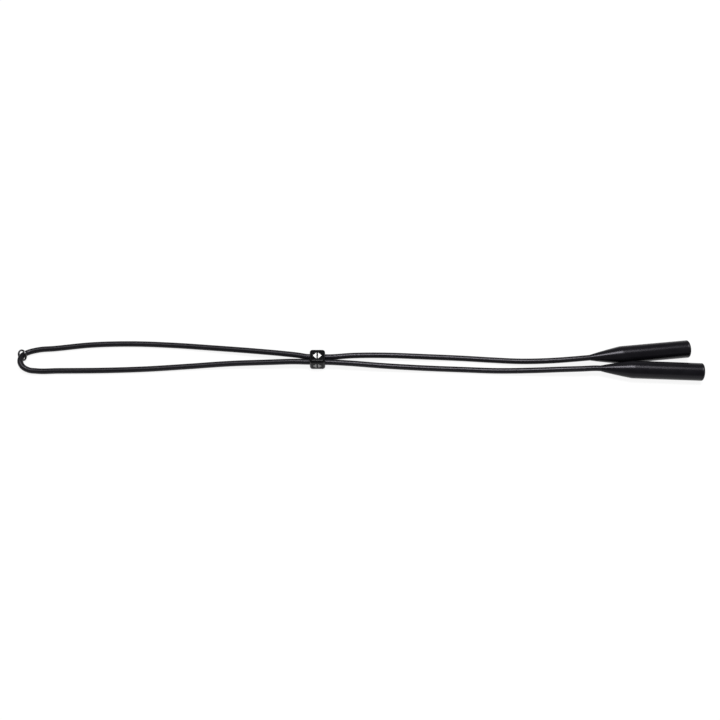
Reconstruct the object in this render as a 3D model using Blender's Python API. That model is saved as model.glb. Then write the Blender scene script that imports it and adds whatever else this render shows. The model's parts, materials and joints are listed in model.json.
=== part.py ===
"""Eyeglass retainer strap, lying on a flat surface at z = 0.

One rubber cord is doubled through a slider bead. Each of its two ends is crimped into a ferrule
that is trapped inside a soft temple grip, and a split ring hangs on the fold. +X runs from the
fold to the grips, +Y to the far side and +Z up. Every length is in metres.
"""

import math

import bmesh
import bpy
import numpy as np
from mathutils import Vector

# Clearances
TOUCH_GAP = 0.0003
LANE_GAP = 0.0001
SLIDE_GAP = 0.00025
PASSAGE_GAP = 0.0002
TABLE_GAP = 0.00005

# Cord
CORD_DIAMETER = 0.0026

# Slider bead: its width and height follow from the cord and the wall beside it
BEAD_LENGTH = 0.007
BEAD_WALL = 0.0006
BEAD_EDGE_RADIUS = 0.001
BEAD_X = -0.0185
BEAD_Y = 0.0008
LANE_SLANT = 0.02

# Temple grips: a soft tube with a conical tail
SOCKET_BORE = 0.0062
SOCKET_DEPTH = 0.0315
GRIP_WALL = 0.0009
TAIL_LENGTH = 0.0139
TAIL_LIP = 0.0003
RIM_RADIUS = 0.0005
FAR_TAIL_X = 0.1051
FAR_TAIL_Y = 0.00145
FAR_YAW = math.radians(5.9)
NEAR_TAIL_X = 0.1093
NEAR_TAIL_Y = -0.0042
NEAR_YAW = math.radians(-2.4)

# Ferrules crimped on the cord's two ends
FERRULE_LENGTH = 0.005
FERRULE_WALL = 0.0006
CRIMP_DEPTH = 0.0002
CRIMP_WIDTH = 0.0009

# Split ring on the fold
RING_BORE = 0.0037
RING_WIRE = 0.0009
RING_SLIT = 0.0003
RING_X = -0.1531
RING_Y = 0.00375
RING_TILT = math.radians(50.0)
RING_UPHILL = math.radians(52.0)
RING_SLIT_TURN = math.radians(60.0)

# Facets
TURNED_STEPS = 28
BEVEL_STEPS = 3
ROUND_PROFILE = 0.5
RING_STEPS = 28
TUBE_RESOLUTION = 2
SHARP_ANGLE = math.radians(40.0)

# Sizes that follow from the ones above
cord_radius = CORD_DIAMETER / 2
lane_offset = (CORD_DIAMETER + LANE_GAP) / 2
slot_half_height = cord_radius + SLIDE_GAP
slot_half_width = lane_offset + slot_half_height
bead_size = 2 * (slot_half_width + BEAD_WALL)
grip_radius = SOCKET_BORE / 2 + GRIP_WALL
grip_length = TAIL_LENGTH + SOCKET_DEPTH
passage_radius = cord_radius + PASSAGE_GAP
ferrule_bore = cord_radius + PASSAGE_GAP
ferrule_radius = ferrule_bore + FERRULE_WALL
pocket_radius = ferrule_radius + TOUCH_GAP
pocket_start = TAIL_LENGTH - FERRULE_LENGTH - TOUCH_GAP
ring_radius = (RING_BORE + RING_WIRE) / 2

# The cord's route over the table, in millimetres, from the far grip round the fold to the near one
MM = 0.001
FAR_ARM = [
    (97.0, 0.72, 3.85), (88.0, 0.22, 3.45), (74.0, 0.5, 2.3), (60.0, 1.75, 1.4),
    (48.0, 2.6, 1.35), (30.0, 3.25, 1.8), (12.0, 3.45, 2.7), (-3.0, 2.93, 3.3),
]
FAR_RUN = [
    (-26.0, 2.75, 3.5), (-34.0, 4.0, 3.25), (-47.0, 5.65, 2.75), (-66.0, 7.85, 1.85),
    (-85.0, 9.6, 1.4), (-104.0, 10.4, 1.35), (-123.0, 9.8, 1.35), (-139.0, 7.9, 1.35),
]
FOLD = [
    (-147.0, 7.0, 1.45), (-151.05, 5.55, 1.65), (-152.45, 4.2, 2.2), (-153.25, 2.25, 2.8),
    (-153.15, -0.15, 2.95), (-151.8, -2.4, 2.55), (-149.2, -3.75, 1.9), (-145.3, -4.1, 1.45),
]
NEAR_RUN = [
    (-136.0, -3.95, 1.35), (-114.0, -3.7, 1.35), (-96.0, -3.0, 1.35), (-78.0, -1.8, 1.5),
    (-58.0, -0.7, 2.3), (-40.0, -0.45, 3.1), (-28.0, -0.3, 3.45),
]
NEAR_ARM = [
    (-5.0, -1.05, 3.35), (10.0, -2.05, 2.8), (28.0, -2.7, 1.85), (48.0, -3.35, 1.35),
    (62.0, -4.0, 1.5), (78.0, -4.4, 2.5), (92.0, -4.4, 3.45), (100.0, -4.35, 3.85),
]
STRAIGHT_OUT = 0.0015
BEAD_STRAIGHT = 0.0015
CURVE_STEPS = 24
POINT_EVERY = 3 * CORD_DIAMETER
POINT_TURN = math.radians(15)


def material(name, colour, roughness, metallic=0.0):
    made = bpy.data.materials.new(name)
    made.use_nodes = True
    shader = made.node_tree.nodes["Principled BSDF"]
    shader.inputs["Base Color"].default_value = (*colour, 1.0)
    shader.inputs["Roughness"].default_value = roughness
    shader.inputs["Metallic"].default_value = metallic
    return made


def add_object(name, data, made_of):
    obj = bpy.data.objects.new(name, data)
    obj.data.materials.append(made_of)
    bpy.context.scene.collection.objects.link(obj)
    return obj


def mesh_from(bm, name):
    bmesh.ops.recalc_face_normals(bm, faces=bm.faces)
    mesh = bpy.data.meshes.new(name)
    bm.to_mesh(mesh)
    bm.free()
    return mesh


def turned_mesh(name, outline):
    """A closed outline of (distance along X, radius) points, turned once round the X axis."""
    bm = bmesh.new()
    corners = [bm.verts.new((along, 0.0, radius)) for along, radius in outline]
    edges = [bm.edges.new(pair) for pair in zip(corners, corners[1:] + corners[:1])]
    bmesh.ops.spin(
        bm, geom=corners + edges, cent=(0, 0, 0), axis=(1, 0, 0),
        angle=2 * math.pi, steps=TURNED_STEPS, use_merge=True,
    )
    mesh = mesh_from(bm, name)
    mesh.shade_smooth()
    mesh.set_sharp_from_angle(angle=SHARP_ANGLE)
    return mesh


def smooth_curve(route):
    """Close points along a smooth curve through the route's own points."""
    points = np.array(route)
    gaps = np.linalg.norm(np.diff(points, axis=0), axis=1)
    along = np.concatenate([[0.0], np.cumsum(gaps)])
    slopes = np.gradient(points, along, axis=0)
    fine = []
    for i, gap in enumerate(gaps):
        for t in np.linspace(0.0, 1.0, CURVE_STEPS, endpoint=False):
            start = (1 + 2 * t) * (1 - t) ** 2 * points[i] + gap * t * (1 - t) ** 2 * slopes[i]
            end = t * t * (3 - 2 * t) * points[i + 1] - gap * t * t * (1 - t) * slopes[i + 1]
            fine.append(Vector(start + end))
    fine.append(Vector(points[-1]))
    return fine


def spaced_points(fine):
    """Points of a fine curve, spaced evenly and closer together where the curve turns."""
    kept = [fine[0]]
    heading = fine[1] - fine[0]
    for here, following in zip(fine[1:-1], fine[2:]):
        turn = heading.angle(following - here)
        if (here - kept[-1]).length >= POINT_EVERY or turn >= POINT_TURN:
            kept.append(here)
            heading = following - here
    if (fine[-1] - kept[-1]).length < CORD_DIAMETER:
        kept.pop()
    return kept + [fine[-1]]


def tube(name, points, diameter, made_of):
    """A round tube with flat ends along the points."""
    curve = bpy.data.curves.new(name, "CURVE")
    curve.dimensions = "3D"
    curve.bevel_depth = diameter / 2
    curve.bevel_resolution = TUBE_RESOLUTION
    curve.use_fill_caps = True
    spline = curve.splines.new("POLY")
    spline.points.add(len(points) - 1)
    for point, place in zip(spline.points, points):
        point.co = (*place, 1.0)
    spline.use_smooth = True
    return add_object(name, curve, made_of)


def grip_outline():
    """Half the section of a grip, from the tip of its tail at 0 to its open mouth."""
    outline = [
        (0.0, passage_radius),
        (0.0, passage_radius + TAIL_LIP),
        (TAIL_LENGTH, grip_radius),
    ]
    for i in range(BEVEL_STEPS + 1):
        angle = math.pi / 2 * i / BEVEL_STEPS
        outline.append((
            grip_length - RIM_RADIUS * (1 - math.sin(angle)),
            grip_radius - RIM_RADIUS * (1 - math.cos(angle)),
        ))
    outline += [
        (grip_length, SOCKET_BORE / 2),
        (TAIL_LENGTH, SOCKET_BORE / 2),
        (TAIL_LENGTH, pocket_radius),
        (pocket_start, pocket_radius),
        (pocket_start, passage_radius),
    ]
    return outline


def ferrule_outline():
    """Half the section of a ferrule, with two crimp grooves round it."""
    outline = [(0.0, ferrule_bore), (0.0, ferrule_radius)]
    for centre in (FERRULE_LENGTH / 3, 2 * FERRULE_LENGTH / 3):
        outline += [
            (centre - CRIMP_WIDTH / 2, ferrule_radius),
            (centre, ferrule_radius - CRIMP_DEPTH),
            (centre + CRIMP_WIDTH / 2, ferrule_radius),
        ]
    outline += [(FERRULE_LENGTH, ferrule_radius), (FERRULE_LENGTH, ferrule_bore)]
    return outline


def slot_cutter():
    """A long bar with round sides, the shape of the two cord lanes side by side."""
    bm = bmesh.new()
    corners = []
    for side in (1, -1):
        for i in range(TURNED_STEPS // 2 + 1):
            angle = side * math.pi / 2 - math.pi * i / (TURNED_STEPS // 2)
            y = side * lane_offset + slot_half_height * math.cos(angle)
            z = slot_half_height * math.sin(angle)
            corners.append(bm.verts.new((-BEAD_LENGTH, y, z)))
    face = bm.faces.new(corners)
    grown = bmesh.ops.extrude_face_region(bm, geom=[face])
    moved = [item for item in grown["geom"] if isinstance(item, bmesh.types.BMVert)]
    bmesh.ops.translate(bm, verts=moved, vec=(2 * BEAD_LENGTH, 0, 0))
    cutter = bpy.data.objects.new("slot_cutter", mesh_from(bm, "slot_cutter"))
    cutter.hide_render = True
    cutter.display_type = "WIRE"
    bpy.context.scene.collection.objects.link(cutter)
    return cutter


def slider_bead(made_of):
    """A rounded block with one slot through it for both runs of the cord."""
    bm = bmesh.new()
    bmesh.ops.create_cube(bm, size=1.0)
    bmesh.ops.scale(bm, vec=(BEAD_LENGTH, bead_size, bead_size), verts=bm.verts)
    bmesh.ops.bevel(
        bm, geom=list(bm.edges), offset=BEAD_EDGE_RADIUS, segments=BEVEL_STEPS,
        profile=ROUND_PROFILE, affect="EDGES",
    )
    bead = add_object("slider_bead", mesh_from(bm, "slider_bead"), made_of)
    bead.location = (BEAD_X, BEAD_Y, bead_size / 2)
    cutter = slot_cutter()
    cutter.parent = bead
    slot = bead.modifiers.new("cord_slot", "BOOLEAN")
    slot.operation = "DIFFERENCE"
    slot.object = cutter
    return bead


def temple_grip(side, tail_x, tail_y, yaw, rubber, metal):
    """A grip with the ferrule trapped in its tail; the ferrule is placed in the grip's own frame."""
    grip = add_object(f"temple_grip_{side}", turned_mesh(f"temple_grip_{side}", grip_outline()), rubber)
    grip.location = (tail_x, tail_y, grip_radius)
    grip.rotation_euler = (0, 0, yaw)
    ferrule = add_object(
        f"cord_ferrule_{side}", turned_mesh(f"cord_ferrule_{side}", ferrule_outline()), metal
    )
    ferrule.parent = grip
    ferrule.location = (pocket_start + TOUCH_GAP, 0, 0)
    return grip


def on_grip_axis(tail_x, tail_y, yaw, along):
    """A point on a grip's axis, counted from the tip of its tail towards its mouth."""
    return (tail_x + along * math.cos(yaw), tail_y + along * math.sin(yaw), grip_radius)


def bead_lane(along, offset):
    """A point of a run inside the bead, which both runs cross at the same slight slant."""
    return (BEAD_X + along, BEAD_Y + offset - LANE_SLANT * along, bead_size / 2)


def cord_route():
    """The whole route, with the cord straight inside the grips and the bead."""
    far_ends = [
        on_grip_axis(FAR_TAIL_X, FAR_TAIL_Y, FAR_YAW, along)
        for along in (TAIL_LENGTH, 0.0, -STRAIGHT_OUT)
    ]
    near_ends = [
        on_grip_axis(NEAR_TAIL_X, NEAR_TAIL_Y, NEAR_YAW, along)
        for along in (-STRAIGHT_OUT, 0.0, TAIL_LENGTH)
    ]
    reach = BEAD_LENGTH / 2 + BEAD_STRAIGHT
    through = (reach, reach / 2, 0.0, -reach / 2, -reach)
    far_lane = [bead_lane(x, lane_offset) for x in through]
    near_lane = [bead_lane(x, -lane_offset) for x in reversed(through)]
    stretches = {}
    for name, listed in (
        ("far_arm", FAR_ARM), ("loop", FAR_RUN + FOLD + NEAR_RUN), ("near_arm", NEAR_ARM)
    ):
        stretches[name] = [tuple(value * MM for value in point) for point in listed]
    return (
        far_ends + stretches["far_arm"] + far_lane + stretches["loop"]
        + near_lane + stretches["near_arm"] + near_ends
    )


def split_ring(cord_line, made_of):
    """A wire ring, bent nearly closed, that leans on the cord and turns about the cord's own line."""
    slit_angle = RING_SLIT / ring_radius
    points = []
    for i in range(RING_STEPS + 1):
        angle = RING_SLIT_TURN + slit_angle / 2 + (2 * math.pi - slit_angle) * i / RING_STEPS
        points.append((ring_radius * math.cos(angle), ring_radius * math.sin(angle), 0.0))
    ring = tube("split_ring", points, RING_WIRE, made_of)
    height = ring_radius * math.sin(RING_TILT) + RING_WIRE / 2 + TABLE_GAP
    centre = Vector((RING_X, RING_Y, height))
    pivot = bpy.data.objects.new("ring_pivot", None)
    pivot.location = min(cord_line, key=lambda point: (point - centre).length)
    bpy.context.scene.collection.objects.link(pivot)
    ring.parent = pivot
    ring.location = centre - pivot.location
    ring.rotation_euler = (0, -RING_TILT, RING_UPHILL)
    return ring


for old in list(bpy.data.objects):
    bpy.data.objects.remove(old)

cord_rubber = material("cord_rubber", (0.012, 0.012, 0.014), 0.42)
grip_rubber = material("grip_rubber", (0.009, 0.009, 0.011), 0.5)
bead_plastic = material("bead_plastic", (0.008, 0.008, 0.009), 0.2)
ring_steel = material("ring_steel", (0.11, 0.11, 0.115), 0.18, 1.0)
ferrule_brass = material("ferrule_brass", (0.70, 0.52, 0.22), 0.35, 1.0)

cord_line = smooth_curve(cord_route())
tube("cord", spaced_points(cord_line), CORD_DIAMETER, cord_rubber)
slider_bead(bead_plastic)
temple_grip("far", FAR_TAIL_X, FAR_TAIL_Y, FAR_YAW, grip_rubber, ferrule_brass)
temple_grip("near", NEAR_TAIL_X, NEAR_TAIL_Y, NEAR_YAW, grip_rubber, ferrule_brass)
split_ring(cord_line, ring_steel)
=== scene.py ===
import json
import math

import bmesh
import bpy
import numpy as np
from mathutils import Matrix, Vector


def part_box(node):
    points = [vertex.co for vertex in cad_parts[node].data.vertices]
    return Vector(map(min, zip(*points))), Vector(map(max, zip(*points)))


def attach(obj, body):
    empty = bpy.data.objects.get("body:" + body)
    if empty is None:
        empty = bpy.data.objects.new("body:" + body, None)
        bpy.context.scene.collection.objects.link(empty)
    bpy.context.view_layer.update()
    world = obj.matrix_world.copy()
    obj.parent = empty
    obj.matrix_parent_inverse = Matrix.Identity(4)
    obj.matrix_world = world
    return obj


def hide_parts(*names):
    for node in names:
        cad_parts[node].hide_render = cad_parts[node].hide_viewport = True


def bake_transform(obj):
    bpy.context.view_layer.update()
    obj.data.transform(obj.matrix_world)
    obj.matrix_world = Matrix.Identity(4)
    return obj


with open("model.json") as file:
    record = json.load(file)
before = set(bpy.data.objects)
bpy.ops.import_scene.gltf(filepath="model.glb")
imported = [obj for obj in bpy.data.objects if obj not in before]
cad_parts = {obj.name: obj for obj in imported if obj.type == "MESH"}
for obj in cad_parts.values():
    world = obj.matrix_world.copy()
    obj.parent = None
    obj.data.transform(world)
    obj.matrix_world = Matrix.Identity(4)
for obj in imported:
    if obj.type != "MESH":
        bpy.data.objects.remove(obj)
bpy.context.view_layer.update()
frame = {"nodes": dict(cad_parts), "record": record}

# Cord. One extruded length of satin black silicone, which starts in the far temple grip, runs through
# the slider bead, turns at the fold and comes back through the bead to the near grip. It is drawn as
# three stretches that meet inside the bead.
CORD_DIAMETER = 0.0026
CORD_SIDES = 24
CORD_STEPS = 16
CORD_END_ANGLE = math.radians(40.0)
GRIP_LENGTH = 0.0454
TAIL_LENGTH = 0.0139
STRAIGHT_OUT = 0.0015
BEAD_STRAIGHT = 0.005
LANE_OFFSET = 0.00135
LANE_SLANT = 0.02
LOOP_STILL_X = -0.1490
FAR_ARM = [
    (0.0970, 0.00072, 0.00385), (0.0880, 0.00022, 0.00345), (0.0740, 0.00050, 0.00230),
    (0.0600, 0.00175, 0.00140), (0.0480, 0.00260, 0.00135), (0.0300, 0.00325, 0.00180),
    (0.0120, 0.00345, 0.00270), (-0.0030, 0.00293, 0.00330),
]
FAR_RUN = [
    (-0.0260, 0.00275, 0.00350), (-0.0340, 0.00400, 0.00325), (-0.0470, 0.00565, 0.00275),
    (-0.0660, 0.00785, 0.00185), (-0.0850, 0.00960, 0.00140), (-0.1040, 0.01040, 0.00135),
    (-0.1230, 0.00980, 0.00135), (-0.1390, 0.00790, 0.00135),
]
FOLD = [
    (-0.14700, 0.00700, 0.00145), (-0.15105, 0.00555, 0.00165), (-0.15245, 0.00420, 0.00220),
    (-0.15325, 0.00225, 0.00280), (-0.15315, -0.00015, 0.00295), (-0.15180, -0.00240, 0.00255),
    (-0.14920, -0.00375, 0.00190), (-0.14530, -0.00410, 0.00145),
]
NEAR_RUN = [
    (-0.1360, -0.00395, 0.00135), (-0.1140, -0.00370, 0.00135), (-0.0960, -0.00300, 0.00135),
    (-0.0780, -0.00180, 0.00150), (-0.0580, -0.00070, 0.00230), (-0.0400, -0.00045, 0.00310),
    (-0.0280, -0.00030, 0.00345),
]
NEAR_ARM = [
    (-0.0050, -0.00105, 0.00335), (0.0100, -0.00205, 0.00280), (0.0280, -0.00270, 0.00185),
    (0.0480, -0.00335, 0.00135), (0.0620, -0.00400, 0.00150), (0.0780, -0.00440, 0.00250),
    (0.0920, -0.00440, 0.00345), (0.1000, -0.00435, 0.00385),
]
CORD_DARK = (0.0052, 0.0050, 0.0064)
CORD_LIGHT = (0.0078, 0.0075, 0.0092)
CORD_ROUGHNESS = (0.27, 0.34)
CORD_SPECULAR = 0.27
SILICONE_TINT = (0.93, 0.90, 1.0, 1.0)
DIE_LINE_CELLS = (15.0, 2800.0, 2800.0)
CORD_GRAIN_CELLS = (7000.0, 7000.0, 7000.0)
CORD_HANDLING_CELLS = (160.0, 500.0, 500.0)
CORD_GRAIN_SHARE = 0.15
CORD_BUMP = 0.045
SILICONE_RELIEF = 0.00003
NOISE_SPAN = (0.3, 0.7)
NOISE_PAIR_SPAN = (0.7, 1.3)

bead_low, bead_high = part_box("slider_bead")
bead_centre = (bead_low + bead_high) / 2


def grip_line(side):
    """The tip of a grip's tail, and the direction from there to its mouth."""
    mount = next(m for m in frame["record"]["mounts"] if m["name"] == f"{side}_grip_mouth")
    low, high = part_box(f"temple_grip_{side}")
    direction = Vector(mount["axis"])
    mouth = Vector((mount["pos_m"][0], mount["pos_m"][1], (low.z + high.z) / 2))
    return mouth - GRIP_LENGTH * direction, direction


def smooth_line(route):
    """Close points on a smooth curve through the route's own points."""
    points = np.array(route)
    gaps = np.linalg.norm(np.diff(points, axis=0), axis=1)
    along = np.concatenate([[0.0], np.cumsum(gaps)])
    slopes = np.gradient(points, along, axis=0)
    line = []
    for i, gap in enumerate(gaps):
        for t in np.linspace(0.0, 1.0, CORD_STEPS, endpoint=False):
            start = (1 + 2 * t) * (1 - t) ** 2 * points[i] + gap * t * (1 - t) ** 2 * slopes[i]
            end = t * t * (3 - 2 * t) * points[i + 1] - gap * t * t * (1 - t) * slopes[i + 1]
            line.append(Vector(start + end))
    return line + [Vector(points[-1])]


def cord_tube(name, line):
    """A round tube with flat ends; each point keeps its place along and round the cord for the finish."""
    corners, places, travelled = [], [], 0.0
    for i, middle in enumerate(line):
        before, after = line[max(i - 1, 0)], line[min(i + 1, len(line) - 1)]
        if i:
            travelled += (middle - before).length
        ahead = (after - before).normalized()
        side = ahead.cross(Vector((0, 0, 1))).normalized()
        up = side.cross(ahead)
        for k in range(CORD_SIDES):
            turn = 2 * math.pi * k / CORD_SIDES
            across, above = CORD_DIAMETER / 2 * math.cos(turn), CORD_DIAMETER / 2 * math.sin(turn)
            corners.append(middle + across * side + above * up)
            places += [travelled, across, above]
    faces = []
    for i in range(len(line) - 1):
        for k in range(CORD_SIDES):
            first, second = i * CORD_SIDES + k, i * CORD_SIDES + (k + 1) % CORD_SIDES
            faces.append((first, first + CORD_SIDES, second + CORD_SIDES, second))
    last_ring = (len(line) - 1) * CORD_SIDES
    faces.append(tuple(range(CORD_SIDES)))
    faces.append(tuple(range(last_ring + CORD_SIDES - 1, last_ring - 1, -1)))
    mesh = bpy.data.meshes.new(name)
    mesh.from_pydata(corners, [], faces)
    mesh.attributes.new("cord_place", "FLOAT_VECTOR", "POINT").data.foreach_set("vector", places)
    mesh.shade_smooth()
    mesh.set_sharp_from_angle(angle=CORD_END_ANGLE)
    piece = bpy.data.objects.new(name, mesh)
    bpy.context.scene.collection.objects.link(piece)
    return piece


def new_material(name):
    material = bpy.data.materials.new(name)
    material.use_nodes = True
    return material, material.node_tree.nodes["Principled BSDF"]


def add_node(material, kind, inputs, **settings):
    """A node with its properties set, and each input either linked from a socket or given a value."""
    node = material.node_tree.nodes.new(kind)
    for setting, value in settings.items():
        setattr(node, setting, value)
    for name, value in inputs.items():
        if isinstance(value, bpy.types.NodeSocket):
            material.node_tree.links.new(value, node.inputs[name])
        else:
            node.inputs[name].default_value = value
    return node


def noise(material, place, cells, detail=3.0):
    """Noise over a place, with its count of cells per metre in each direction."""
    spread = add_node(material, "ShaderNodeMapping", {"Vector": place, "Scale": cells})
    made = add_node(
        material, "ShaderNodeTexNoise", {"Vector": spread.outputs["Vector"], "Scale": 1.0, "Detail": detail}
    )
    return made.outputs["Fac"]


def between(material, value, results, span=NOISE_SPAN):
    """A value that goes from the first result to the second, as another goes over a span."""
    made = add_node(
        material, "ShaderNodeMapRange",
        {
            "Value": value, "From Min": span[0], "From Max": span[1],
            "To Min": results[0], "To Max": results[1],
        },
    )
    return made.outputs["Result"]


def shades(material, factor, dark, light):
    """A colour that goes from dark to light, as a noise goes over most of its values."""
    made = add_node(material, "ShaderNodeValToRGB", {"Fac": factor})
    for element, place, colour in zip(made.color_ramp.elements, NOISE_SPAN, (dark, light)):
        element.position = place
        element.color = (*colour, 1.0)
    return made.outputs["Color"]


def calculate(material, first, second, operation="ADD"):
    made = add_node(material, "ShaderNodeMath", {0: first, 1: second}, operation=operation)
    return made.outputs["Value"]


def bump(material, height, strength, distance):
    made = add_node(
        material, "ShaderNodeBump", {"Height": height, "Strength": strength, "Distance": distance}
    )
    return made.outputs["Normal"]


def link(material, shader, **sockets):
    """Links sockets to the shader's inputs, named with underscores for spaces."""
    for name, socket in sockets.items():
        material.node_tree.links.new(socket, shader.inputs[name.replace("_", " ")])


def cord_silicone():
    """Satin black silicone with the faint lengthwise lines that an extrusion die leaves."""
    material, shader = new_material("cord_silicone")
    place = add_node(material, "ShaderNodeAttribute", {}, attribute_name="cord_place").outputs["Vector"]
    die_lines = noise(material, place, DIE_LINE_CELLS)
    grain = noise(material, place, CORD_GRAIN_CELLS)
    handling = noise(material, place, CORD_HANDLING_CELLS)
    relief = calculate(material, die_lines, calculate(material, grain, CORD_GRAIN_SHARE, "MULTIPLY"))
    satin = between(material, calculate(material, handling, die_lines), CORD_ROUGHNESS, NOISE_PAIR_SPAN)
    link(
        material, shader,
        Base_Color=shades(material, handling, CORD_DARK, CORD_LIGHT),
        Roughness=satin,
        Normal=bump(material, relief, CORD_BUMP, SILICONE_RELIEF),
    )
    shader.inputs["Specular IOR Level"].default_value = CORD_SPECULAR
    shader.inputs["Specular Tint"].default_value = SILICONE_TINT
    return material


far_tail, far_ahead = grip_line("far")
near_tail, near_ahead = grip_line("near")
inside_out = (TAIL_LENGTH, 0.0, -STRAIGHT_OUT)
through_bead = [part * BEAD_STRAIGHT for part in (1.0, 0.5, 0.0, -0.5, -1.0)]
back_to_middle = len(through_bead) // 2 + 1
far_lane = [bead_centre + Vector((x, LANE_OFFSET - LANE_SLANT * x, 0)) for x in through_bead]
near_lane = [bead_centre + Vector((x, -LANE_OFFSET - LANE_SLANT * x, 0)) for x in reversed(through_bead)]
route = [far_tail + along * far_ahead for along in inside_out] + FAR_ARM + far_lane
far_middle = (len(route) - back_to_middle) * CORD_STEPS
route += FAR_RUN + FOLD + NEAR_RUN + near_lane
near_middle = (len(route) - back_to_middle) * CORD_STEPS
route += NEAR_ARM + [near_tail + along * near_ahead for along in reversed(inside_out)]
cord_line = smooth_line([tuple(point) for point in route])

silicone = cord_silicone()
loop_still_end = Vector((LOOP_STILL_X, bead_centre.y, bead_centre.z))
stretches = {
    "cord_far_arm": (cord_line[: far_middle + 1], far_tail + TAIL_LENGTH / 2 * far_ahead),
    "cord_loop": (cord_line[far_middle : near_middle + 1], loop_still_end),
    "cord_near_arm": (cord_line[near_middle:], near_tail + TAIL_LENGTH / 2 * near_ahead),
}
for name, (line, still_end) in stretches.items():
    piece = cord_tube(name, line)
    piece.data.materials.append(silicone)
    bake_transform(piece)
    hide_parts("cord")

# Ferrules. A short brass tube is crimped on each end of the cord and trapped in the pocket of its
# grip's tail, so that the cord can't pull out. Their solids are right as they are and stay.
BRASS_DARK = (0.42, 0.27, 0.09)
BRASS_LIGHT = (0.72, 0.53, 0.23)
BRASS_ROUGHNESS = (0.46, 0.28)
TARNISH_CELLS = (900.0, 900.0, 900.0)
TURNING_CELLS = (14000.0, 300.0, 300.0)
TURNING_BUMP = 0.2
TURNING_RELIEF = 0.00002


def object_place(material):
    return add_node(material, "ShaderNodeTexCoord", {}).outputs["Object"]


def crimped_brass():
    """Drawn brass, dulled unevenly, with fine turning lines round it."""
    material, shader = new_material("crimped_brass")
    place = object_place(material)
    tarnish = noise(material, place, TARNISH_CELLS)
    turning = noise(material, place, TURNING_CELLS, detail=1.0)
    link(
        material, shader,
        Base_Color=shades(material, tarnish, BRASS_DARK, BRASS_LIGHT),
        Roughness=between(material, tarnish, BRASS_ROUGHNESS),
        Normal=bump(material, turning, TURNING_BUMP, TURNING_RELIEF),
    )
    shader.inputs["Metallic"].default_value = 1.0
    return material


brass = crimped_brass()
for side in ("far", "near"):
    ferrule = frame["nodes"][f"cord_ferrule_{side}"]
    ferrule.data.materials.clear()
    ferrule.data.materials.append(brass)

# Temple grips. Each is one soft black silicone moulding: a tube that pushes over the tip of a
# spectacle temple, with a conical tail that closes round the cord. They are alike, so one is modelled
# with its tail's tip at the origin and copied.
GRIP_SIDES = 72
GRIP_RADIUS = 0.004
SOCKET_RADIUS = 0.0031
LIP_RADIUS = 0.00138
PASSAGE_RADIUS = 0.00132
POCKET_RADIUS = 0.0024
POCKET_START = 0.0086
TAIL_BULGE = 0.00012
TAIL_STEPS = 6
LINE_FROM_MOUTH = 0.0012
LINE_DEPTH = 0.00008
LINE_HALF_WIDTH = 0.00018
SHOULDER_ROUNDING = 0.0006
RIM_ROUNDING = 0.00075
INNER_ROUNDING = 0.0002
OUTER_STEPS = 5
INNER_STEPS = 3
SAME_CORNER = 0.000002
SAME_RING = 0.00002
GRIP_SHARP_ANGLE = math.radians(50.0)
GRIP_DARK = (0.0044, 0.0042, 0.0056)
GRIP_LIGHT = (0.0066, 0.0063, 0.0080)
GRIP_ROUGHNESS = (0.21, 0.28)
GRIP_SPECULAR = 0.2
GRIP_GRAIN_CELLS = (5200.0, 5200.0, 5200.0)
GRIP_HANDLING_CELLS = (170.0, 420.0, 420.0)
GRIP_BUMP = 0.06
MOULD_LINE_REACH = 0.00007
MOULD_LINE_SHARE = 0.8
RIM_WEAR = 0.0014
RIM_MATT = 0.3


def turned_wall(name, outline, sides):
    """A closed wall round the X axis, drawn out from one ring along an outline of (along, radius)."""
    along, radius = outline[0]
    bpy.ops.object.select_all(action="DESELECT")
    bpy.ops.mesh.primitive_circle_add(
        vertices=sides, radius=radius, location=(along, 0, 0), rotation=(0, math.pi / 2, 0)
    )
    wall = bpy.context.object
    wall.name = name
    bpy.ops.object.transform_apply(location=True, rotation=True)
    bpy.ops.object.mode_set(mode="EDIT")
    bpy.ops.mesh.select_all(action="SELECT")
    for next_along, next_radius in outline[1:] + outline[:1]:
        bpy.ops.mesh.extrude_edges_move(TRANSFORM_OT_translate={"value": (next_along - along, 0, 0)})
        grow = next_radius / radius
        bpy.ops.transform.resize(value=(1, grow, grow), center_override=(next_along, 0, 0))
        along, radius = next_along, next_radius
    bpy.ops.mesh.select_all(action="SELECT")
    bpy.ops.mesh.remove_doubles(threshold=SAME_CORNER)
    bpy.ops.mesh.normals_make_consistent(inside=False)
    return wall


def round_edges(wanted, rounding, steps):
    """In edit mode, rounds the edges that are wanted, by the places of their two ends."""
    bpy.ops.mesh.select_mode(type="EDGE")
    bpy.ops.mesh.select_all(action="DESELECT")
    edited = bmesh.from_edit_mesh(bpy.context.object.data)
    for edge in edited.edges:
        edge.select_set(wanted(edge.verts[0].co, edge.verts[1].co))
    bmesh.update_edit_mesh(bpy.context.object.data)
    bpy.ops.mesh.bevel(offset=rounding, segments=steps, affect="EDGES")


def round_ring(along, radius, rounding, steps):
    """Rounds the ring of edges at a place along X and a distance from it."""
    def on_ring(point):
        off_axis = math.hypot(point.y, point.z)
        return abs(point.x - along) < SAME_RING and abs(off_axis - radius) < SAME_RING

    round_edges(lambda start, end: on_ring(start) and on_ring(end), rounding, steps)


def finish_shading(piece, sharp_angle):
    """Smooth shading with sharp edges over an angle, and flat stretches kept flat beside roundings."""
    bpy.ops.object.mode_set(mode="OBJECT")
    bpy.ops.object.shade_smooth_by_angle(angle=sharp_angle)
    piece.modifiers.new("even_normals", "WEIGHTED_NORMAL").keep_sharp = True
    bpy.ops.object.modifier_apply(modifier="even_normals")


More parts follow.
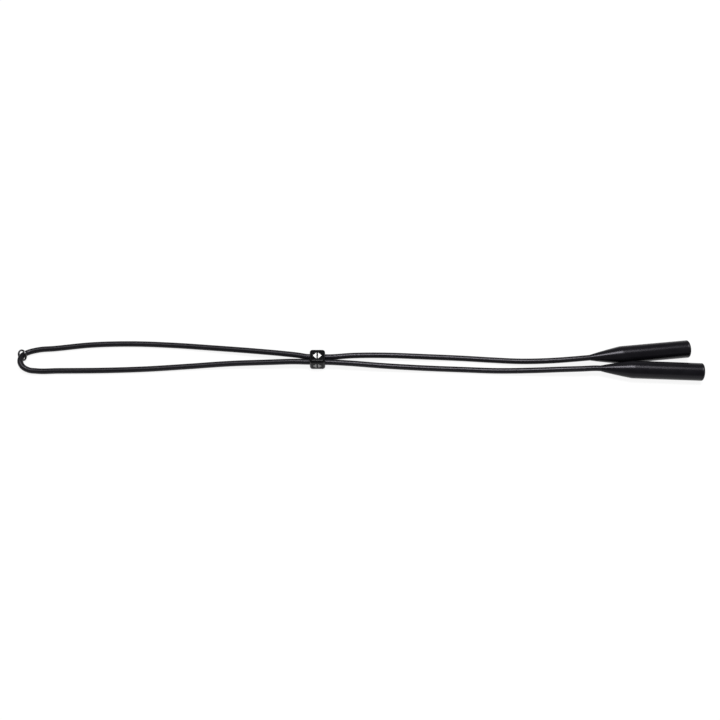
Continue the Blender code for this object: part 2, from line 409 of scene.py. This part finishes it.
def grip_silicone():
    """Satin black moulded silicone: a fine grain, a faint mould line on both sides, rims rubbed matt."""
    material, shader = new_material("grip_silicone")
    place = object_place(material)
    grain = noise(material, place, GRIP_GRAIN_CELLS, detail=4.0)
    handling = noise(material, place, GRIP_HANDLING_CELLS)
    height = add_node(material, "ShaderNodeSeparateXYZ", {"Vector": place}).outputs["Z"]
    off_middle = calculate(material, calculate(material, height, GRIP_RADIUS, "SUBTRACT"), 0.0, "ABSOLUTE")
    mould_line = between(material, off_middle, (MOULD_LINE_SHARE, 0.0), (0.0, MOULD_LINE_REACH))
    from_tail = add_node(material, "ShaderNodeAttribute", {}, attribute_name="from_tail").outputs["Fac"]
    rubbed = between(material, from_tail, (0.0, RIM_MATT), (GRIP_LENGTH - RIM_WEAR, GRIP_LENGTH))
    satin = between(material, calculate(material, handling, grain), GRIP_ROUGHNESS, NOISE_PAIR_SPAN)
    link(
        material, shader,
        Base_Color=shades(material, handling, GRIP_DARK, GRIP_LIGHT),
        Roughness=calculate(material, satin, rubbed),
        Normal=bump(material, calculate(material, grain, mould_line), GRIP_BUMP, SILICONE_RELIEF),
    )
    shader.inputs["Specular IOR Level"].default_value = GRIP_SPECULAR
    shader.inputs["Specular Tint"].default_value = SILICONE_TINT
    return material


def tail_outline():
    """Points of the tail from its tip to the shoulder, a little fuller than a straight cone."""
    points = []
    for step in range(TAIL_STEPS + 1):
        part = step / TAIL_STEPS
        bulge = 4 * TAIL_BULGE * part * (1 - part)
        points.append((part * TAIL_LENGTH, LIP_RADIUS + part * (GRIP_RADIUS - LIP_RADIUS) + bulge))
    return points


line_at = GRIP_LENGTH - LINE_FROM_MOUTH
grip_outline = [(0.0, PASSAGE_RADIUS)] + tail_outline() + [
    (line_at - LINE_HALF_WIDTH, GRIP_RADIUS),
    (line_at, GRIP_RADIUS - LINE_DEPTH),
    (line_at + LINE_HALF_WIDTH, GRIP_RADIUS),
    (GRIP_LENGTH, GRIP_RADIUS),
    (GRIP_LENGTH, SOCKET_RADIUS),
    (TAIL_LENGTH, SOCKET_RADIUS),
    (TAIL_LENGTH, POCKET_RADIUS),
    (POCKET_START, POCKET_RADIUS),
    (POCKET_START, PASSAGE_RADIUS),
]
far_grip = turned_wall("temple_sleeve_far", grip_outline, GRIP_SIDES)
round_ring(TAIL_LENGTH, GRIP_RADIUS, SHOULDER_ROUNDING, OUTER_STEPS)
round_ring(GRIP_LENGTH, GRIP_RADIUS, RIM_ROUNDING, OUTER_STEPS)
round_ring(GRIP_LENGTH, SOCKET_RADIUS, INNER_ROUNDING, INNER_STEPS)
finish_shading(far_grip, GRIP_SHARP_ANGLE)
places_along = far_grip.data.attributes.new("from_tail", "FLOAT", "POINT")
places_along.data.foreach_set("value", [corner.co.x for corner in far_grip.data.vertices])
far_grip.data.materials.append(grip_silicone())
bpy.ops.object.duplicate()
near_grip = bpy.context.object
near_grip.name = "temple_sleeve_near"
for side, sleeve, tail, ahead in (
    ("far", far_grip, far_tail, far_ahead), ("near", near_grip, near_tail, near_ahead)
):
    bpy.ops.object.select_all(action="DESELECT")
    sleeve.select_set(True)
    bpy.context.view_layer.objects.active = sleeve
    sleeve.location = tail
    sleeve.rotation_euler = (0, 0, math.atan2(ahead.y, ahead.x))
    bpy.ops.object.transform_apply(location=True, rotation=True)
    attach(sleeve, "strap")
    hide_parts(f"temple_grip_{side}")

# Slider bead. A moulded cube of polished black plastic with one slot through it, in which both runs of
# the cord lie side by side. Its four closed faces have a shallow recess filled with white paint: two
# arrowheads that point along the cord, the way the bead slides.
BEAD_ROUNDING = 0.00125
BEAD_STEPS = 8
BEAD_SHARP_ANGLE = math.radians(30.0)
SLOT_HALF_HEIGHT = 0.00155
SLOT_HALF_WIDTH = 0.0029
# A hair under half the slot's height, so that the roundings of its sides don't meet.
SLOT_ROUNDING = 0.999 * SLOT_HALF_HEIGHT
SLOT_STEPS = 10
ARROW_LENGTH = 0.0017
ARROW_WIDTH = 0.0032
ARROW_GAP = 0.0007
ARROW_CORNER = 0.00016
ARROW_STEPS = 3
MARK_DEPTH = 0.00015
UNIT_TRIANGLE_LENGTH = 1.5
UNIT_TRIANGLE_WIDTH = math.sqrt(3.0)
PLASTIC_DARK = (0.0032, 0.0032, 0.0036)
PLASTIC_LIGHT = (0.0052, 0.0052, 0.0058)
PLASTIC_ROUGHNESS = (0.18, 0.27)
PLASTIC_SPECULAR = 0.1
SMEAR_CELLS = (420.0, 700.0, 700.0)
SCRATCH_CELLS = (900.0, 12000.0, 9000.0)
SCRATCH_BUMP = 0.08
SCRATCH_RELIEF = 0.00002
PAINT_DARK = (0.74, 0.74, 0.73)
PAINT_LIGHT = (0.86, 0.86, 0.85)
PAINT_ROUGHNESS = (0.42, 0.58)
PAINT_CELLS = (1800.0, 1800.0, 1800.0)
PAINT_BUMP = 0.15
PAINT_RELIEF = 0.00004


def cut_away(piece, cutter, name):
    """Cuts one object out of another, whose cut faces take the cutter's material."""
    cut = piece.modifiers.new(name, "BOOLEAN")
    cut.operation = "DIFFERENCE"
    cut.object = cutter
    cut.material_mode = "TRANSFER"
    bpy.context.view_layer.objects.active = piece
    bpy.ops.object.modifier_apply(modifier=name)
    bpy.data.objects.remove(cutter)


def bead_plastic():
    """Polished black plastic with hairline scratches and smears from fingers."""
    material, shader = new_material("bead_plastic")
    place = object_place(material)
    smears = noise(material, place, SMEAR_CELLS)
    scratches = noise(material, place, SCRATCH_CELLS, detail=1.0)
    link(
        material, shader,
        Base_Color=shades(material, smears, PLASTIC_DARK, PLASTIC_LIGHT),
        Roughness=between(material, smears, PLASTIC_ROUGHNESS),
        Normal=bump(material, scratches, SCRATCH_BUMP, SCRATCH_RELIEF),
    )
    shader.inputs["Specular IOR Level"].default_value = PLASTIC_SPECULAR
    return material


def mark_paint():
    """White paint that settled in the recess, a little uneven in colour and gloss."""
    material, shader = new_material("mark_paint")
    patches = noise(material, object_place(material), PAINT_CELLS)
    link(
        material, shader,
        Base_Color=shades(material, patches, PAINT_DARK, PAINT_LIGHT),
        Roughness=between(material, patches, PAINT_ROUGHNESS),
        Normal=bump(material, patches, PAINT_BUMP, PAINT_RELIEF),
    )
    return material


bead_size = bead_high - bead_low
bpy.ops.mesh.primitive_cube_add(size=1.0, location=bead_centre, scale=bead_size)
bead = bpy.context.object
bead.name = "slider_bead_shell"
bpy.ops.object.transform_apply(location=True, scale=True)
bpy.ops.object.mode_set(mode="EDIT")
round_edges(lambda start, end: True, BEAD_ROUNDING, BEAD_STEPS)
bpy.ops.object.mode_set(mode="OBJECT")
bead.data.materials.append(bead_plastic())

slot_size = (2 * bead_size.x, 2 * SLOT_HALF_WIDTH, 2 * SLOT_HALF_HEIGHT)
bpy.ops.mesh.primitive_cube_add(size=1.0, location=bead_centre, scale=slot_size)
slot = bpy.context.object
bpy.ops.object.transform_apply(location=True, scale=True)
bpy.ops.object.mode_set(mode="EDIT")
round_edges(lambda start, end: abs(start.x - end.x) > bead_size.x, SLOT_ROUNDING, SLOT_STEPS)
bpy.ops.object.mode_set(mode="OBJECT")
slot.data.materials.append(bead.data.materials[0])
cut_away(bead, slot, "cord_slot")

bpy.ops.mesh.primitive_cylinder_add(vertices=3, radius=1.0, depth=2 * MARK_DEPTH)
arrows = bpy.context.object
arrows.rotation_euler = (0, 0, -math.pi / 2)
bpy.ops.object.transform_apply(rotation=True)
arrows.scale = (ARROW_LENGTH / UNIT_TRIANGLE_LENGTH, ARROW_WIDTH / UNIT_TRIANGLE_WIDTH, 1.0)
arrow_middle = ARROW_GAP / 2 + ARROW_LENGTH / 3
arrows.location = bead_centre + Vector((arrow_middle, 0, bead_size.z / 2))
bpy.ops.object.transform_apply(location=True, scale=True)
bpy.ops.object.mode_set(mode="EDIT")
round_edges(lambda start, end: abs(start.z - end.z) > MARK_DEPTH, ARROW_CORNER, ARROW_STEPS)
bpy.ops.mesh.select_all(action="SELECT")
bpy.ops.mesh.duplicate()
bpy.ops.transform.rotate(value=math.pi, orient_axis="Z", center_override=bead_centre)
bpy.ops.mesh.select_all(action="SELECT")
for _ in range(3):
    bpy.ops.mesh.duplicate()
    bpy.ops.transform.rotate(value=math.pi / 2, orient_axis="X", center_override=bead_centre)
bpy.ops.mesh.select_all(action="SELECT")
bpy.ops.mesh.normals_make_consistent(inside=False)
bpy.ops.object.mode_set(mode="OBJECT")
arrows.data.materials.append(mark_paint())
cut_away(bead, arrows, "marks")
bpy.ops.object.select_all(action="DESELECT")
bead.select_set(True)
finish_shading(bead, BEAD_SHARP_ANGLE)
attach(bead, "bead")
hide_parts("slider_bead")

# Split ring. A turn of thin polished steel wire, bent nearly closed, that hangs loose on the fold of the
# cord. Its colour is darkened as painted shade, standing in for the dark reflections the wire shows. It
# leans on the cord with its low side on the table.
RING_WIRE = 0.0009
RING_RADIUS = 0.0023
RING_SLIT = 0.0003
RING_X = -0.1531
RING_Y = 0.00375
RING_TILT = math.radians(50.0)
RING_UPHILL = math.radians(52.0)
RING_SLIT_TURN = math.radians(60.0)
RING_TABLE_GAP = 0.00005
RING_STEPS = 96
RING_SHARP_ANGLE = math.radians(50.0)
WIRE_SIDES = 16
# Painted shade: the steel's colour is kept dark so that the wire shows the dark reflections of a dim room.
RING_PAINTED_SHADE_LOW = (0.085, 0.085, 0.090)
RING_PAINTED_SHADE_HIGH = (0.125, 0.125, 0.130)
RING_WIRE_ROUGHNESS = (0.10, 0.20)
DRAWING_CELLS = (3500.0, 3500.0, 3500.0)
DRAWING_BUMP = 0.1
DRAWING_RELIEF = 0.00001


def ring_steel_painted_dark():
    """Polished steel wire whose colour is darkened as painted shade, standing in for dark reflections, with
    faint marks from drawing it.
    """
    material, shader = new_material("ring_steel")
    marks = noise(material, object_place(material), DRAWING_CELLS)
    link(
        material, shader,
        Base_Color=shades(material, marks, RING_PAINTED_SHADE_LOW, RING_PAINTED_SHADE_HIGH),
        Roughness=between(material, marks, RING_WIRE_ROUGHNESS),
        Normal=bump(material, marks, DRAWING_BUMP, DRAWING_RELIEF),
    )
    shader.inputs["Metallic"].default_value = 1.0
    return material


slit_turn = RING_SLIT / RING_RADIUS
bpy.ops.mesh.primitive_circle_add(
    vertices=WIRE_SIDES, radius=RING_WIRE / 2, fill_type="NGON",
    location=(RING_RADIUS, 0, 0), rotation=(math.pi / 2, 0, 0),
)
ring = bpy.context.object
ring.name = "split_ring_wire"
bpy.ops.object.transform_apply(location=True, rotation=True)
bpy.ops.object.mode_set(mode="EDIT")
bpy.ops.mesh.select_all(action="SELECT")
bpy.ops.mesh.spin(
    steps=RING_STEPS, angle=2 * math.pi - slit_turn, center=(0, 0, 0), axis=(0, 0, 1), use_auto_merge=False
)
bpy.ops.mesh.select_all(action="SELECT")
bpy.ops.mesh.normals_make_consistent(inside=False)
finish_shading(ring, RING_SHARP_ANGLE)
ring.rotation_euler = (0, 0, RING_SLIT_TURN + slit_turn / 2)
bpy.ops.object.transform_apply(rotation=True)
ring.rotation_euler = (0, -RING_TILT, RING_UPHILL)
ring_height = RING_RADIUS * math.sin(RING_TILT) + RING_WIRE / 2 + RING_TABLE_GAP
ring.location = (RING_X, RING_Y, ring_height)
bpy.ops.object.transform_apply(location=True, rotation=True)
ring.data.materials.append(ring_steel_painted_dark())
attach(ring, "ring")
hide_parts("split_ring")

# Table. A wide sheet of plain white, on which the strap lies. Its colour keeps the strap's soft shadow,
# and a glow that only the camera and reflections see makes the rest of it white.
FLOOR_SIZE = 6.0
FLOOR_COLOUR = (0.12, 0.12, 0.12, 1.0)
FLOOR_LIFT = 0.9
WHITE = (1.0, 1.0, 1.0, 1.0)
bpy.ops.mesh.primitive_plane_add(size=FLOOR_SIZE, location=(0, 0, 0))
floor = bpy.context.object
floor.name = "table"
table_white, floor_shader = new_material("table_white")
floor_shader.inputs["Base Color"].default_value = FLOOR_COLOUR
floor_shader.inputs["Roughness"].default_value = 1.0
floor_shader.inputs["Specular IOR Level"].default_value = 0.0
floor_shader.inputs["Emission Color"].default_value = WHITE
rays = add_node(table_white, "ShaderNodeLightPath", {}).outputs
seen = calculate(table_white, rays["Is Camera Ray"], rays["Is Glossy Ray"])
seen = calculate(table_white, seen, rays["Is Transmission Ray"])
link(table_white, floor_shader, Emission_Strength=calculate(table_white, seen, FLOOR_LIFT, "MULTIPLY"))
floor.data.materials.append(table_white)

# Studio. A bright softbox hangs overhead, a little behind the strap, with a wide dim panel above it, in a
# room with pale walls and a dim ceiling. Past the table the camera sees plain white, and reflections
# see that white low down.
SOFTBOX_SIZE = (0.39, 0.34)
SOFTBOX_PLACE = Vector((0.115, 0.13, 1.0))
SOFTBOX_POWER = 7.3
PANEL_SIZE = (1.12, 0.4)
PANEL_PLACE = Vector((-0.07, 0.155, 1.03))
PANEL_POWER = 4.7
ROOM_LIGHT = (0.4, 0.2)
WALL_TO_CEILING = (0.12, 0.45)
BACKDROP_TOP = (0.05, 0.12)


def hang_light(name, size, place, power):
    """A rectangular light that faces the middle of the strap."""
    data = bpy.data.lights.new(name, "AREA")
    data.shape = "RECTANGLE"
    data.size, data.size_y = size
    data.energy = power
    light = bpy.data.objects.new(name, data)
    light.location = place
    light.rotation_euler = (math.atan2(-place.y, place.z), 0, 0)
    bpy.context.scene.collection.objects.link(light)


hang_light("softbox", SOFTBOX_SIZE, SOFTBOX_PLACE, SOFTBOX_POWER)
hang_light("panel", PANEL_SIZE, PANEL_PLACE, PANEL_POWER)

room = bpy.data.worlds.new("room")
room.use_nodes = True
bpy.context.scene.world = room
outward = add_node(room, "ShaderNodeTexCoord", {}).outputs["Generated"]
upward = add_node(room, "ShaderNodeSeparateXYZ", {"Vector": outward}).outputs["Z"]
room_light = between(room, upward, ROOM_LIGHT, WALL_TO_CEILING)
low_down = between(room, upward, (1.0, 0.0), BACKDROP_TOP)
room_rays = add_node(room, "ShaderNodeLightPath", {}).outputs
mirrored = calculate(room, room_rays["Is Glossy Ray"], room_rays["Is Transmission Ray"])
mirrored_low = calculate(room, mirrored, low_down, "MULTIPLY")
white_seen = calculate(room, room_rays["Is Camera Ray"], mirrored_low)
backdrop = room.node_tree.nodes["Background"]
backdrop.inputs["Color"].default_value = WHITE
link(room, backdrop, Strength=calculate(room, room_light, white_seen, "MAXIMUM"))

# Camera. It looks along the table's Y from the near side, well above the strap.
CAMERA_TARGET = Vector((0.00075, 0.0026, 0.0))
CAMERA_DISTANCE = 0.452
CAMERA_ELEVATION = math.radians(59.0)
CAMERA_VIEW = math.radians(40.0)
camera_data = bpy.data.cameras.new("camera")
camera_data.angle = CAMERA_VIEW
camera = bpy.data.objects.new("camera", camera_data)
towards_camera = Vector((0, -math.cos(CAMERA_ELEVATION), math.sin(CAMERA_ELEVATION)))
camera.location = CAMERA_TARGET + CAMERA_DISTANCE * towards_camera
camera.rotation_euler = (math.pi / 2 - CAMERA_ELEVATION, 0, 0)
bpy.context.scene.collection.objects.link(camera)
bpy.context.scene.camera = camera
bpy.context.scene.view_settings.view_transform = "Standard"
